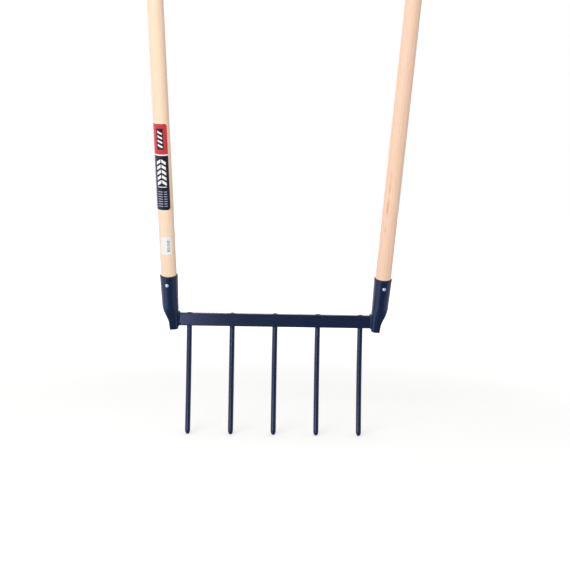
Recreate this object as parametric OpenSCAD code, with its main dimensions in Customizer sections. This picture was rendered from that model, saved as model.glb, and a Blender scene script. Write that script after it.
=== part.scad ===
// Broadfork: five bent tines through a hollow crossbar, with two leaning handles in pressed tube sockets.
// Millimetres, +Z up, front at -Y. The origin is the middle of the crossbar's top face, the tread.

/* [Handles] */
// Diameter of a handle where it leaves its socket
handle_d = 37; // [34:0.5:39]
// Diameter of the parallel grip at the top of a handle
grip_d = 35; // [32:0.5:38]
// Length of the parallel grip, without its domed end
grip_l = 400; // [200:10:600]
// Whole length of a handle
handle_l = 1200; // [900:10:1500]
// Room below a handle's seat, before the tube starts to be pressed
seat_room = 4; // [2:0.5:20]
// Height of the domed top end
dome_h = 8; // [4:0.5:16]
// Angle that the handles lean forward
lean = 16; // [5:0.5:25]
// Angle that each handle splays outward
splay = 2.5; // [0:0.1:5]
// Clearance between a handle and its socket
seat_gap = 0.15; // [0.05:0.05:0.3]

/* [Sockets] */
// Outside diameter of a socket at its mouth
mouth_d = 42; // [40:0.5:46]
// Outside diameter of a socket where its round stretch ends
waist_d = 38.5; // [34:0.5:40]
// Thickness of the tube's wall
socket_wall = 1.6; // [1.2:0.1:2.5]
// Length of the round stretch below the mouth
round_l = 71; // [66:1:90]
// Length over which the outer side is pressed in
pinch_l = 42; // [30:1:55]
// Length of the flat neck below the pressed stretch
neck_l = 16.5; // [10:0.5:30]
// Width of the neck where the pressed stretch ends
neck_top_w = 22.5; // [18:0.5:26]
// Width of the neck at its open lower end
neck_end_w = 20.5; // [16:0.5:24]
// Depth of the neck from front to back
neck_depth = 41; // [34:0.5:46]
// Distance along the handle from the crossbar's middle height to the mouth
mouth_rise = 109.5; // [100:0.5:130]
// Depth that the tube's inner side is pressed in where it lies on the crossbar's end
inner_press = 1.25; // [0:0.05:3]

/* [Crossbar] */
// Length of the crossbar between the sockets
bar_l = 450; // [430:5:600]
// Height of the crossbar
bar_h = 30; // [20:1:40]
// Depth of the crossbar from front to back
bar_depth = 20; // [20:1:30]
// Thickness of the crossbar's walls
bar_wall = 2; // [1.5:0.1:2.5]
// Radius of the crossbar's long edges
bar_edge_r = 2; // [1:0.1:2.5]

/* [Tines] */
// Distance from the crossbar's end to the middle of the outer tine
tine_margin = 25; // [16:1:60]
// Diameter of a tine
tine_d = 12.5; // [8:0.5:13]
// Length of a tine below the crossbar, along its curve
tine_l = 254; // [180:1:350]
// Radius of a tine's forward bend
bend_r = 1030; // [500:10:2000]
// Length of the rounded tip
tip_l = 10; // [6:0.5:20]
// Diameter of the tip's blunt end
tip_end_d = 5.2; // [2:0.2:7]
// Clearance of a tine in its holes
tine_gap = 0.1; // [0.05:0.05:0.3]

/* [Welds] */
// Height of a cap weld above the tread
cap_h = 2; // [1:0.1:3]
// Depth of the countersink that a cap weld fills
cap_sink = 1.4; // [0.8:0.1:1.4]
// Size of the small fillet round a tine under the crossbar
collar_leg = 1.6; // [1:0.1:2.4]
// Size of the bead between the crossbar and a socket
bead_leg = 5; // [3:0.1:6]
// Depth of the bevel on the crossbar's ends that the bead fills
bevel = 1; // [0.5:0.1:1.2]
// Clearance between a weld and the steel that it joins
weld_gap = 0.05; // [0.02:0.01:0.1]

/* [Rivets] */
// Diameter of a rivet's shank
rivet_d = 5; // [4:0.1:6]
// Diameter of a rivet's round head
rivet_head_d = 8.4; // [7:0.1:10]
// Height of a rivet's round head
rivet_head_h = 2.2; // [1.2:0.1:3]
// Distance of a rivet below the socket's mouth
rivet_drop = 19; // [15:0.5:35]
// Angle of the left rivet, outward from the front
left_rivet_turn = 12; // [0:1:40]
// Angle of the right rivet, outward from the front
right_rivet_turn = 7; // [0:1:40]

/* [Label and sticker] */
// Thickness of the label film and of the sticker
film_t = 0.2; // [0.1:0.05:0.5]
// Clearance between film and wood
film_gap = 0.2; // [0.1:0.05:0.3]
// Length of the label along the handle
label_l = 202; // [100:1:300]
// Width of the label across the front, before it curves away
label_w = 34; // [16:0.5:35]
// Radius of the label's corners
label_r = 7; // [2:0.5:8]
// Height of the label's lower end above the mouth
label_rise = 161; // [120:1:300]
// Angle of the label's middle, outward from the front
label_turn = 25; // [-30:1:40]
// Length of the sticker along the handle
sticker_l = 42; // [20:1:60]
// Width of the sticker across the front, before it curves away
sticker_w = 25; // [14:0.5:32]
// Radius of the sticker's corners
sticker_r = 2; // [0.5:0.5:5]
// Height of the sticker's lower end above the mouth
sticker_rise = 56; // [10:1:70]
// Angle of the sticker's middle, outward from the front
sticker_turn = 5; // [-30:1:40]

/* [Hidden] */
$fn = 64;
left = -1;
right = 1;
tine_count = 5;
wood = "BurlyWood";
navy = "MidnightBlue";

// Radii and heights down the socket
mouth_r = mouth_d / 2;
waist_r = waist_d / 2;
waist_z = mouth_rise - round_l;
pinch_end_z = waist_z - pinch_l;
socket_end_z = pinch_end_z - neck_l;
// Handle axis: it crosses the crossbar's middle height this far from its end and from the centre plane
socket_offset = waist_r - inner_press;
foot_x = bar_l / 2 + socket_offset;
// Height up the handle's axis of the crossbar's upper front edge
bar_top_z = bar_h / 2 * cos(lean) + bar_depth / 2 * sin(lean);
// Where two stretches of one piece join, the next one starts this far inside the last
lap = 1;
// The neck's upper end is tucked into the round tube's wall by this much on each face
tuck = 0.1;
// A tine's straight top and its tip are tucked into its bent stretch by this much all round
tine_tuck = 0.05;
neck_wall = socket_wall - 2 * tuck;
// Corner sharpness of the neck, as the exponent of its rounded outline; 2 is a true oval
inner_corner = 4;
outer_corner = 8;
// Sections of the pressed neck: points round each, and rings along each stretch
neck_points = 48;
pinch_rings = 12;
neck_rings = 3;
// Length of the tapered seat inside the socket, and heights up the handle
seat_l = round_l - seat_room;
grip_start_z = mouth_rise + handle_l - seat_l - dome_h - grip_l;
shoulder_z = mouth_rise + seat_gap;
taper_l = grip_start_z - shoulder_z;
dome_r = (pow(grip_d / 2, 2) + pow(dome_h, 2)) / (2 * dome_h);
// Rivet
rivet_z = mouth_rise - rivet_drop;
hole_gap = 0.1;
rivet_wall_r = mouth_r - (mouth_r - waist_r) * rivet_drop / round_l;
rivet_seat_r = sqrt(pow(rivet_wall_r, 2) - pow(rivet_head_d / 2, 2));
rivet_rise = rivet_head_h + rivet_wall_r - rivet_seat_r;
rivet_cap_r = (pow(rivet_head_d / 2, 2) + pow(rivet_rise, 2)) / (2 * rivet_rise);
// Tine and its welds
tine_pitch = (bar_l - 2 * tine_margin) / (tine_count - 1);
tine_r = tine_d / 2;
tine_end_r = tine_r - tine_tuck;
tine_hole_r = tine_r + tine_gap;
bend_angle = (tine_l - tip_l) / bend_r * 180 / PI;
tip_drop = tine_end_r - tip_end_d / 2;
tip_arc_r = (pow(tip_drop, 2) + pow(tip_l, 2)) / (2 * tip_drop);
cap_r = tine_hole_r + cap_sink;
cap_ball_r = (pow(cap_r, 2) + pow(cap_h, 2)) / (2 * cap_h);
// Reach of the bead into the hollow side of the neck, before it is cut to fit
bead_reach = 4;
// Longer than any cut needs to be
over = 200;

function mix(a, b, t) = a + (b - a) * t;
function ease(t) = t * t * (3 - 2 * t);
function power(v, e) = sign(v) * pow(abs(v), e);

// How far the tube is pressed at a height: 0 where it is round, 1 in the neck
function pressed(z) = ease(min(1, max(0, (waist_z - z) / pinch_l)));
// The same for the inner side, which lies on the crossbar's end all the way down from its upper edge
function inner_pressed(z) = ease(min(1, max(0, (waist_z - z) / (waist_z - bar_top_z))));
// Distance from the handle's axis to the upright plane of the crossbar's end
function end_plane(z) = (socket_offset + z * sin(splay)) / cos(splay);
function neck_w(z) = mix(neck_end_w, neck_top_w, (z - socket_end_z) / neck_l);
function half_in(z) = mix(waist_r - tuck, end_plane(z), inner_pressed(z));
function half_out(z) = mix(waist_r - tuck, neck_w(z) - end_plane(z), pressed(z));
function half_depth(z) = mix(waist_r - tuck, neck_depth / 2, pressed(z));

// One point of the neck's section: round at the top, straight inside and flat outside at the bottom
function neck_point(z, turn, inset) =
    let (
        outside = cos(turn) > 0,
        corner = mix(2, outside ? outer_corner : inner_corner, pressed(z)),
        across = (outside ? half_out(z) : half_in(z)) - inset,
        deep = half_depth(z) - inset
    )
    [across * power(cos(turn), 2 / corner), deep * power(sin(turn), 2 / corner), z];

neck_heights = concat(
    [for (k = [0 : neck_rings - 1]) mix(socket_end_z, pinch_end_z, k / neck_rings)],
    [for (k = [0 : pinch_rings]) mix(pinch_end_z, waist_z, k / pinch_rings)],
    [waist_z + lap]
);
neck_count = len(neck_heights);

function neck_skin(inset) = [
    for (z = neck_heights)
        for (k = [0 : neck_points - 1])
            neck_point(z, 360 * k / neck_points, inset)
];
function spot(skin, ring, k) = (skin * neck_count + ring) * neck_points + k % neck_points;
function skin_faces(skin, outward) = [
    for (ring = [0 : neck_count - 2])
        for (k = [0 : neck_points - 1])
            for (half = [0, 1])
                let (
                    a = spot(skin, ring, k),
                    b = spot(skin, ring + 1, k),
                    c = spot(skin, ring + 1, k + 1),
                    d = spot(skin, ring, k + 1),
                    face = half == 0 ? [a, b, c] : [a, c, d]
                )
                outward ? face : [face[0], face[2], face[1]]
];
function rim_faces(ring, upward) = [
    for (k = [0 : neck_points - 1])
        for (half = [0, 1])
            let (
                a = spot(0, ring, k),
                b = spot(0, ring, k + 1),
                c = spot(1, ring, k + 1),
                d = spot(1, ring, k),
                face = half == 0 ? [a, b, c] : [a, c, d]
            )
            upward ? [face[0], face[2], face[1]] : face
];

// Places its children on a handle's axis: z runs up the handle, x points outward, -y is the front
module on_handle(side) {
    mirror([side < 0 ? 1 : 0, 0, 0])
        translate([foot_x, 0, -bar_h / 2])
            rotate([lean, 0, 0])
                rotate([0, splay, 0])
                    children();
}

// Points its children's z axis out of the handle at an angle outward from the front
module facing(turn) {
    rotate([0, 0, turn])
        rotate([90, 0, 0])
            children();
}

module rounded_rectangle(w, h, r) {
    square([w - 2 * r, h], center = true);
    square([w, h - 2 * r], center = true);
    for (x = [-1, 1], y = [-1, 1])
        translate([x * (w / 2 - r), y * (h / 2 - r)])
            circle(r);
}

// Handle: seat that follows the bore where it is narrower than the shaft, slow taper, parallel grip and domed
// end, with a cross hole for the rivet
module handle(side) {
    turn = side == left ? left_rivet_turn : right_rivet_turn;
    bore_slope = (mouth_r - waist_r) / round_l;
    seat_r = mouth_r - socket_wall - seat_gap;
    seat_end_r = seat_r - bore_slope * seat_l;
    color(wood)
        on_handle(side)
            difference() {
                union() {
                    translate([0, 0, mouth_rise - seat_l])
                        intersection() {
                            cylinder(h = seat_l + seat_gap, r1 = seat_end_r, r2 = seat_r);
                            cylinder(h = seat_l + seat_gap, d = handle_d);
                        }
                    translate([0, 0, shoulder_z])
                        cylinder(h = taper_l, d1 = handle_d, d2 = grip_d);
                    translate([0, 0, grip_start_z])
                        cylinder(h = grip_l, d = grip_d);
                    translate([0, 0, grip_start_z + grip_l])
                        intersection() {
                            cylinder(h = dome_h, d = grip_d);
                            translate([0, 0, dome_h - dome_r])
                                sphere(dome_r);
                        }
                }
                translate([0, 0, rivet_z])
                    facing(turn)
                        cylinder(h = over, d = rivet_d + 2 * hole_gap, center = true);
            }
}

// Pressed neck: the wall between an outer and an inner skin, or the filled outer form
module neck(filled = false) {
    if (filled) {
        bottom = [for (k = [0 : neck_points - 1]) spot(0, 0, k)];
        top = [for (k = [neck_points - 1 : -1 : 0]) spot(0, neck_count - 1, k)];
        polyhedron(neck_skin(0), concat(skin_faces(0, true), [bottom, top]));
    } else {
        polyhedron(
            concat(neck_skin(0), neck_skin(neck_wall)),
            concat(
                skin_faces(0, true),
                skin_faces(1, false),
                rim_faces(0, false),
                rim_faces(neck_count - 1, true)
            )
        );
    }
}

// Socket: round tapering tube with a tapered bore, pressed to a flat neck at its lower end
module socket(side) {
    turn = side == left ? left_rivet_turn : right_rivet_turn;
    color(navy)
        on_handle(side)
            union() {
                difference() {
                    translate([0, 0, waist_z])
                        rotate_extrude()
                            polygon([
                                [waist_r - socket_wall, 0],
                                [waist_r, 0],
                                [mouth_r, round_l],
                                [mouth_r - socket_wall, round_l]
                            ]);
                    translate([0, 0, rivet_z])
                        for (back = [0, 180])
                            facing(turn + back) {
                                cylinder(h = over, d = rivet_d + 2 * hole_gap);
                                translate([0, 0, rivet_seat_r])
                                    cylinder(h = over, d = rivet_head_d + 2 * hole_gap);
                            }
                }
                neck();
            }
}

// Rivet: a shank through socket and handle with a round head at each end, on a flat seat cut in the tube
module rivet(side) {
    turn = side == left ? left_rivet_turn : right_rivet_turn;
    color("Silver")
        on_handle(side)
            translate([0, 0, rivet_z])
                facing(turn) {
                    cylinder(h = 2 * (rivet_seat_r + lap), d = rivet_d, center = true);
                    rivet_head();
                    mirror([0, 0, 1])
                        rivet_head();
                }
}

module rivet_head() {
    translate([0, 0, rivet_seat_r])
        intersection() {
            cylinder(h = rivet_rise, d = rivet_head_d);
            translate([0, 0, rivet_rise - rivet_cap_r])
                sphere(rivet_cap_r);
        }
}

// Outline of a bar seen along one side, with its ends stepped in or flared out over the bead's length
function ended_outline(size, step, reach) =
    let (a = bar_l / 2 - bead_leg, b = bar_l / 2, c = b + reach, h = size / 2)
    [
        [-c, -h - step], [-b, -h - step], [-a, -h], [a, -h], [b, -h - step], [c, -h - step],
        [c, h + step], [b, h + step], [a, h], [-a, h], [-b, h + step], [-c, h + step]
    ];

module ended_block(step, reach) {
    intersection() {
        rotate([90, 0, 0])
            linear_extrude(bar_depth + 2 * bar_h, center = true)
                polygon(ended_outline(bar_h, step, reach));
        linear_extrude(bar_depth + 2 * bar_h, center = true)
            polygon(ended_outline(bar_depth, step, reach));
    }
}

// The crossbar's outer form, with bevelled ends for the beads; reach runs on past the ends
module bar_form(reach = 0) {
    translate([0, 0, -bar_h / 2])
        intersection() {
            rotate([90, 0, 90])
                linear_extrude(bar_l + 2 * reach, center = true)
                    rounded_rectangle(bar_depth, bar_h, bar_edge_r);
            ended_block(-bevel, reach + lap);
        }
}

// Crossbar: hollow section with a countersunk hole above and a plain hole below for each tine
module crossbar() {
    color(navy)
        difference() {
            bar_form();
            translate([0, 0, -bar_h / 2])
                cube([bar_l + over, bar_depth - 2 * bar_wall, bar_h - 2 * bar_wall], center = true);
            for (k = [1 : tine_count])
                at_tine(k) {
                    translate([0, 0, -bar_h / 2])
                        cylinder(h = over, r = tine_hole_r, center = true);
                    translate([0, 0, -cap_sink])
                        cylinder(h = cap_sink, r1 = tine_hole_r, r2 = cap_r);
                }
        }
}

module at_tine(k) {
    translate([(k - (tine_count + 1) / 2) * tine_pitch, 0, 0])
        children();
}

// Turns a sweep about z, which starts at +x, into a forward bend that starts straight down
module bend_frame() {
    translate([0, -bend_r, -bar_h])
        rotate([-90, 0, 0])
            rotate([0, -90, 0])
                children();
}

// Tine: straight through the crossbar, then bent forward on an arc to a blunt rounded tip
module tine(k) {
    color(navy)
        at_tine(k) {
            translate([0, 0, -bar_h - lap])
                cylinder(h = bar_h + lap - cap_sink, r = tine_end_r);
            bend_frame() {
                rotate_extrude(angle = bend_angle, $fn = 128)
                    translate([bend_r, 0])
                        circle(tine_r);
                rotate([0, 0, bend_angle])
                    translate([bend_r, 0, 0])
                        rotate([-90, 0, 0])
                            tine_tip();
            }
        }
}

// A tine's tip: one arc turned about its axis, from just inside the bent stretch to the blunt end
module tine_tip() {
    rotate_extrude()
        intersection() {
            translate([0, -lap])
                square([tine_end_r, lap + tip_l]);
            translate([tine_end_r - tip_arc_r, 0])
                circle(tip_arc_r, $fn = 128);
        }
}

// Cap weld: fills the countersink over a tine's top end and stands up as a low dome
module cap_weld(k) {
    color(navy)
        at_tine(k) {
            translate([0, 0, -cap_sink])
                cylinder(h = cap_sink, r1 = tine_hole_r - weld_gap, r2 = cap_r - weld_gap);
            intersection() {
                cylinder(h = cap_h, r = cap_r - weld_gap);
                translate([0, 0, cap_h - cap_ball_r])
                    sphere(cap_ball_r);
            }
        }
}

// Collar weld: a small fillet round a tine under the crossbar
module collar_weld(k) {
    color(navy)
        at_tine(k)
            translate([0, 0, -bar_h])
                rotate_extrude()
                    polygon([
                        [tine_r + weld_gap, 0],
                        [tine_r + weld_gap + collar_leg, 0],
                        [tine_r + weld_gap, -collar_leg]
                    ]);
}

// Socket weld: the bead round a bevelled end of the crossbar, cut to the socket's outside
module socket_weld(side) {
    color(navy)
        difference() {
            intersection() {
                translate([0, 0, -bar_h / 2])
                    ended_block(bead_leg, bead_reach);
                translate([side * (bar_l / 2 - bead_leg + over / 2), 0, 0])
                    cube(over, center = true);
            }
            bar_form(bead_reach + lap);
            on_handle(side) {
                neck(filled = true);
                translate([0, 0, waist_z])
                    cylinder(h = round_l, r1 = waist_r, r2 = mouth_r);
            }
        }
}

// A thin patch that follows the handle's taper, cut to a rounded rectangle seen from one side
module film(w, l, r, rise, turn) {
    inner = 2 * film_gap;
    outer = inner + 2 * film_t;
    intersection() {
        translate([0, 0, shoulder_z])
            difference() {
                cylinder(h = taper_l, d1 = handle_d + outer, d2 = grip_d + outer);
                cylinder(h = taper_l, d1 = handle_d + inner, d2 = grip_d + inner);
            }
        translate([0, 0, mouth_rise + rise + l / 2])
            facing(turn)
                linear_extrude(handle_d)
                    rounded_rectangle(w, l, r);
    }
}

// Handle label: printed film on the left handle
module handle_label() {
    color("FireBrick")
        on_handle(left)
            film(label_w, label_l, label_r, label_rise, label_turn);
}

// Barcode sticker: small white paper sticker on the left handle
module barcode_sticker() {
    color("White")
        on_handle(left)
            film(sticker_w, sticker_l, sticker_r, sticker_rise, sticker_turn);
}

handle(left);  // left_handle
handle(right);  // right_handle
socket(left);  // left_socket
socket(right);  // right_socket
crossbar();
for (k = [1 : tine_count]) {
    tine(k);
    cap_weld(k);
    collar_weld(k);
}
socket_weld(left);  // left_socket_weld
socket_weld(right);  // right_socket_weld
rivet(left);  // left_rivet
rivet(right);  // right_rivet
handle_label();
barcode_sticker();
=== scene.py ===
"""Looks of a five-tine broadfork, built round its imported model.

Sizes are millimetres in the part's own frame: +Z up, the front at -Y, and the origin in the middle of the
crossbar's top face. Each sub-assembly is a class that builds its meshes and dresses them in finishes.
"""

import logging
import math
from collections.abc import Sequence
from dataclasses import dataclass
from enum import Enum
from functools import cache, reduce

import bmesh
import bpy
import numpy as np
from bpy.types import ColorRamp, Material, Node, NodeSocket, NodeTree, Object
from mathutils import Matrix, Vector


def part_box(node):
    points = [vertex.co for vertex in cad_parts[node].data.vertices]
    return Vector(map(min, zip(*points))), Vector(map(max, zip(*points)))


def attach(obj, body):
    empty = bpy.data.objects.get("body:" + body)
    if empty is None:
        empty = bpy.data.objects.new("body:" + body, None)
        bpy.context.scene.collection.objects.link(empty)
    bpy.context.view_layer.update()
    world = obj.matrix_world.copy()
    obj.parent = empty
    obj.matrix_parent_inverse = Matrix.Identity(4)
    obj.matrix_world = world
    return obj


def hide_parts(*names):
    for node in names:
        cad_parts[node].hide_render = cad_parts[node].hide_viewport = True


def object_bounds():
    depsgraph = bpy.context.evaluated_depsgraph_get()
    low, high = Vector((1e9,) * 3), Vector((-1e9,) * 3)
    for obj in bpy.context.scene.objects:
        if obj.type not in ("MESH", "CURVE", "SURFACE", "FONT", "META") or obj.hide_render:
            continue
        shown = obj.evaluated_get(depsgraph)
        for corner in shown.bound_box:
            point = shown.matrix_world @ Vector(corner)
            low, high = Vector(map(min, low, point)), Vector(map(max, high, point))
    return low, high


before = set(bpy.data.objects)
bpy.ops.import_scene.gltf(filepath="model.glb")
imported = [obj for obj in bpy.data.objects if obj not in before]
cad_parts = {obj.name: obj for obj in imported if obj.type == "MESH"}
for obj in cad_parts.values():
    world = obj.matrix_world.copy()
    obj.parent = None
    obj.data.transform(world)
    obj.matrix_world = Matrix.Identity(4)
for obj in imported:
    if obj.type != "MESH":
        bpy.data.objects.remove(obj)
CAD_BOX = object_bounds()

log = logging.getLogger("broadfork")

Span = tuple[float, float]
Spot = tuple[float, float, float]
Colour = tuple[float, float, float, float]

MM = 0.001
BODY = "root"
IMAGE_SIDE_PX = 570
MERGE_MM = 0.002
SMOOTH_UNDER_DEG = 35.0

# Surface data that the finishes and trees read
BILLET = "billet_mm"
PRINT = "print_mm"
LEG_WAY = "leg_way"

# Kinds of node that several trees use
MATH = "ShaderNodeMath"
MIX = "ShaderNodeMix"
NOISE = "ShaderNodeTexNoise"
MAPPING = "ShaderNodeMapping"
MAP_RANGE = "ShaderNodeMapRange"
SEPARATE = "ShaderNodeSeparateXYZ"
COMBINE = "ShaderNodeCombineXYZ"

# Rings along a tine and a rivet's head, and points round each
TINE_RINGS = 110
RIVET_RINGS = 20
ROUND_POINTS = 40
SHANK_POINTS = 32

# Width of a tine's bullet tip as a share of the rod's, by place along the tip
TIP_OUTLINE = ((0.0, 1.0), (0.3, 0.965), (0.6, 0.84), (0.82, 0.66), (0.95, 0.46), (1.0, 0.28))

# How far a rivet's head is drawn towards its pole
RIVET_CROWN_DEG = 88.0


class Side(Enum):
    """Which handle a piece belongs to; the value is the sign of its x."""

    LEFT = -1
    RIGHT = 1

    @property
    def word(self) -> str:
        """The side's name as it stands in a node's name."""
        return self.name.lower()


class Ends(Enum):
    """How a skin over rings of points is closed."""

    LOOP = "the last ring joins the first"
    DOME = "a face under the first ring, and a fan from the last ring to one more point"


def linear(colour: str) -> Colour:
    """Turns an sRGB hex colour into the linear colour that a shader takes.

    Args:
        colour: Six hex digits after a hash sign.

    Returns:
        Linear red, green and blue, with an alpha of 1.
    """
    parts = [int(colour[k : k + 2], 16) / 255 for k in (1, 3, 5)]
    return (*[c / 12.92 if c <= 0.04045 else ((c + 0.055) / 1.055) ** 2.4 for c in parts], 1.0)


def feed(tree: NodeTree, node: Node, inputs: dict | Sequence) -> None:
    """Gives a node's inputs their values and links.

    Args:
        tree: The node's tree.
        node: The node.
        inputs: Value, output or node for each input, by name or number, or in order. A node gives its first
            output.
    """
    for key, value in inputs.items() if isinstance(inputs, dict) else enumerate(inputs):
        source = value.outputs[0] if isinstance(value, Node) else value
        if isinstance(source, NodeSocket):
            tree.links.new(source, node.inputs[key])
        else:
            node.inputs[key].default_value = source


def add(tree: NodeTree, kind: str, inputs: dict | Sequence = (), **settings: object) -> Node:
    """Adds one node with its settings, values and links.

    Args:
        tree: The tree that the node goes into.
        kind: Blender's name for the kind of node.
        inputs: What each input gets, as for feed.
        **settings: The node's own properties.

    Returns:
        The new node.
    """
    node = tree.nodes.new(kind)
    for key, value in settings.items():
        setattr(node, key, value)
    feed(tree, node, inputs)
    return node


def overlap(tree: NodeTree, masks: list[Node]) -> Node:
    """Joins masks into one that is full only where all of them are.

    Args:
        tree: The masks' tree.
        masks: Nodes whose first outputs run from 0 to 1.

    Returns:
        The joint mask.
    """
    return reduce(lambda a, b: add(tree, MATH, [a, b], operation="MULTIPLY"), masks)


def set_stops(ramp: ColorRamp, stops: Sequence[tuple[float, Colour]]) -> None:
    """Replaces the stops of a colour ramp.

    Args:
        ramp: The ramp.
        stops: Place and colour of each stop, in order.
    """
    ramp.elements.remove(ramp.elements[1])
    for number, (place, colour) in enumerate(stops):
        stop = ramp.elements.new(place) if number else ramp.elements[0]
        stop.position, stop.color = place, colour


@dataclass(frozen=True)
class Finish:
    """A surface finish: the name of its material and the record's slot that it belongs to."""

    name: str
    slot: str

    def material(self) -> Material:
        """Makes the finish's material on first use.

        Returns:
            The material.
        """
        if self.name in bpy.data.materials:
            return bpy.data.materials[self.name]
        made = bpy.data.materials.new(self.name)
        made.use_nodes = True
        self.paint(made.node_tree, made.node_tree.nodes["Principled BSDF"])
        return made

    def paint(self, tree: NodeTree, shader: Node) -> None:
        """Adds the finish's own nodes.

        Args:
            tree: The material's tree.
            shader: Its principled shader.
        """
        raise NotImplementedError


@dataclass(frozen=True)
class AshWood(Finish):
    """Turned ash, sanded and sealed.

    The eye sees pale straight grain: soft tan bands of growth, short pores in each, and a satin skin. The
    rings and pores are drawn about twice as coarse as real ones, because the photographed size hides finer
    ones.
    """

    name: str = "Turned ash"
    slot: str = "ash_wood"
    pale: str = "#F7DBBE"
    band: str = "#EECBAB"
    pore: str = "#C79B72"
    ring_mm: float = 4.5
    # Share of tan early wood, by place in a year's ring
    ring_stops: tuple[Span, ...] = ((0.0, 1.0), (0.75, 0.0), (0.97, 0.25))
    wander_mm: float = 5.0
    # Size of each pattern across and along the grain, in millimetres
    wander_size: Span = (45.0, 420.0)
    pore_size: Span = (1.1, 26.0)
    cloud_size: Span = (30.0, 150.0)
    # Where in its noise a pore begins and is full, and how strongly it shows
    pore_edge: Span = (0.56, 0.74)
    pore_share: float = 0.45
    pore_depth_mm: float = 0.05
    pore_bump: float = 0.3
    pore_roughness: float = 0.2
    # A broken line of soft tan patches along the grain, by its place in the billet
    fleck: str = "#E8B080"
    fleck_at: Span | None = None
    fleck_z: Span = (205.0, 385.0)
    fleck_mm: float = 4.2
    fleck_core: float = 0.2
    fleck_pitch_mm: float = 34.0
    fleck_edge: Span = (0.38, 0.62)
    # Paint and dirt that crept up from the socket's rim
    # Painted shade: a near-black band on the wood just above the socket's mouth, standing in for the shadow
    # in the gap between wood and rim
    rim_shade: str = "#2A1D1A"
    rim_shade_z: Span = (110.0, 111.8)
    roughness: float = 0.48
    shine: float = 0.35

    def paint(self, tree: NodeTree, shader: Node) -> None:
        """Draws growth rings about a pith beside the handle, with pores along the grain, and paints shade in
        a band just above the socket's mouth.

        Args:
            tree: The material's tree.
            shader: Its principled shader.
        """
        spot = add(tree, "ShaderNodeAttribute", attribute_name=BILLET).outputs["Vector"]
        height = add(tree, SEPARATE, [spot]).outputs["Z"]
        level = add(tree, MAPPING, {"Vector": spot, "Scale": (1.0, 1.0, 0.0)})
        reach = add(tree, "ShaderNodeVectorMath", [level], operation="LENGTH").outputs["Value"]
        wander = self.streaks(tree, spot, self.wander_size, 2.0)
        bent = add(tree, MATH, [wander, self.wander_mm, reach], operation="MULTIPLY_ADD")
        turns = add(tree, MATH, [bent, 1 / self.ring_mm], operation="MULTIPLY")
        year = add(tree, MATH, [turns], operation="FRACT")
        early = add(tree, "ShaderNodeValToRGB", {"Fac": year})
        set_stops(early.color_ramp, [(place, (share, share, share, 1.0)) for place, share in self.ring_stops])
        streak = self.streaks(tree, spot, self.pore_size, 3.0)
        faint, full = self.pore_edge
        pits = add(
            tree, MAP_RANGE, {"Value": streak, "From Min": faint, "From Max": full},
            interpolation_type="SMOOTHSTEP",
        )
        pores = add(tree, MATH, [pits, early], operation="MULTIPLY")
        cloud = self.streaks(tree, spot, self.cloud_size, 1.0)
        tint = add(tree, MATH, [early, cloud], operation="MULTIPLY")
        wood = add(tree, MIX, {0: tint, 6: linear(self.pale), 7: linear(self.band)}, data_type="RGBA")
        share = add(tree, MATH, [pores, self.pore_share], operation="MULTIPLY")
        wood = add(tree, MIX, {0: share, 6: wood.outputs[2], 7: linear(self.pore)}, data_type="RGBA")
        if self.fleck_at:
            flecks = self.flecks(tree, spot, height)
            wood = add(tree, MIX, {0: flecks, 6: wood.outputs[2], 7: linear(self.fleck)}, data_type="RGBA")
        # Painted shade of the gap at the socket's rim: the wood turns near black just above the mouth
        shade_full_z, shade_end_z = self.rim_shade_z
        unshaded = add(tree, MAP_RANGE, {"Value": height, "From Min": shade_full_z, "From Max": shade_end_z})
        wood = add(tree, MIX, {0: unshaded, 6: linear(self.rim_shade), 7: wood.outputs[2]}, data_type="RGBA")
        rough = add(tree, MATH, [pores, self.pore_roughness, self.roughness], operation="MULTIPLY_ADD")
        dip = add(
            tree, "ShaderNodeBump",
            {"Height": pores, "Strength": self.pore_bump, "Distance": self.pore_depth_mm * MM}, invert=True,
        )
        look = {"Base Color": wood.outputs[2], "Roughness": rough, "Normal": dip}
        feed(tree, shader, {**look, "Specular IOR Level": self.shine})

    @staticmethod
    def streaks(tree: NodeTree, spot: NodeSocket, size: Span, detail: float) -> Node:
        """Draws noise that is stretched along the grain.

        Args:
            tree: The material's tree.
            spot: Place in the billet.
            size: Size of the pattern across and along the grain.
            detail: How many finer layers the noise has.

        Returns:
            The noise.
        """
        across, along = 1 / size[0], 1 / size[1]
        stretched = add(tree, MAPPING, {"Vector": spot, "Scale": (across, across, along)})
        return add(tree, NOISE, {"Vector": stretched, "Scale": 1.0, "Detail": detail})

    def flecks(self, tree: NodeTree, spot: NodeSocket, height: NodeSocket) -> Node:
        """Masks the broken line of patches.

        Args:
            tree: The material's tree.
            spot: Place in the billet.
            height: Place along the billet.

        Returns:
            The mask.
        """
        x, y = self.fleck_at
        low, high = self.fleck_z
        fade = self.fleck_pitch_mm
        beside = add(tree, MAPPING, {"Vector": spot, "Location": (-x, -y, 0.0), "Scale": (1.0, 1.0, 0.0)})
        away = add(tree, "ShaderNodeVectorMath", [beside], operation="LENGTH").outputs["Value"]
        dashes = add(tree, MAPPING, {"Vector": spot, "Scale": (0.0, 0.0, 1 / self.fleck_pitch_mm)})
        broken = add(tree, NOISE, {"Vector": dashes, "Scale": 1.0, "Detail": 1.0})
        edges = (
            (away, self.fleck_mm, self.fleck_core * self.fleck_mm), (broken, *self.fleck_edge),
            (height, low, low + fade), (height, high, high - fade),
        )
        masks = [
            add(
                tree, MAP_RANGE, {"Value": value, "From Min": none, "From Max": full},
                interpolation_type="SMOOTHSTEP",
            )
            for value, none, full in edges
        ]
        return overlap(tree, masks)


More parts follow.
